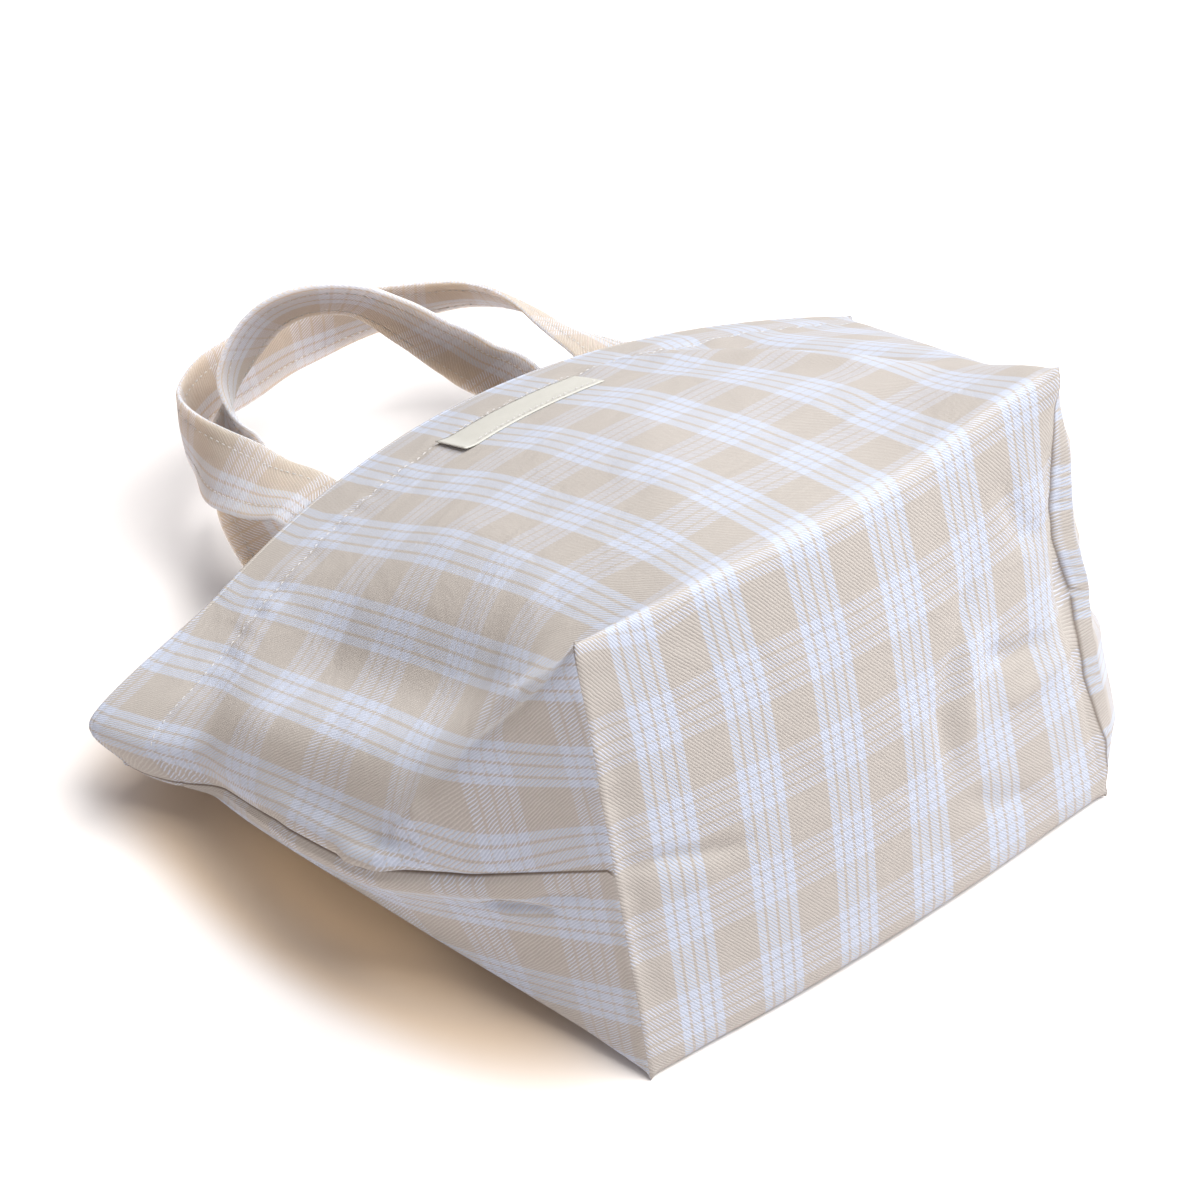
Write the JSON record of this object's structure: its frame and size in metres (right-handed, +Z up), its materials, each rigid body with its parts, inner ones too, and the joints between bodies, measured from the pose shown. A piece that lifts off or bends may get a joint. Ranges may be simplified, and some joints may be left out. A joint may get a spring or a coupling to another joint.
{
  "type": "mini tote bag",
  "caption": "Small checked-cloth tote bag lying on its back, with a boxed base, a stitched mouth hem and soft strap handles that swing up from the mouth.",
  "frame": {"origin": "middle of the back panel's face that the bag lies on", "axes": "+X across the bag towards its right side, +Y from the base towards the mouth, +Z up from the floor"},
  "size_m": [0.3059, 0.2999, 0.1508],
  "materials": {
    "cloth": "pale tan and white checked cotton twill",
    "strap": "the same checked twill, folded in layers",
    "thread": "matt white sewing thread",
    "label": "plain woven tape"
  },
  "bodies": {
    "bag": {"body_cloth": "cloth", "mouth_hem": "cloth", "left_side_seam": "cloth", "right_side_seam": "cloth", "left_corner_seam": "cloth", "right_corner_seam": "cloth", "hem_stitching": "thread", "woven_label": "label", "label_stitching": "thread", "front_handle_left_end": "strap", "front_handle_right_end": "strap", "rear_handle_left_end": "strap", "rear_handle_right_end": "strap"},
    "front_handle": {"front_handle": "strap", "front_handle_outer_stitching": "thread", "front_handle_inner_stitching": "thread"},
    "rear_handle": {"rear_handle": "strap", "rear_handle_outer_stitching": "thread", "rear_handle_inner_stitching": "thread"}
  },
  "joints": [
    {"name": "front_handle_swing", "type": "hinge", "parent": "bag", "child": "front_handle", "pos_m": [-0.00036, 0.11249, 0.05677], "axis": [0.9995, 0.025, -0.0171], "range_deg": [0, 80]},
    {"name": "rear_handle_swing", "type": "hinge", "parent": "bag", "child": "rear_handle", "pos_m": [0.0007, 0.10291, 0.01022], "axis": [1, 0, 0], "range_deg": [0, 10]}
  ]
}
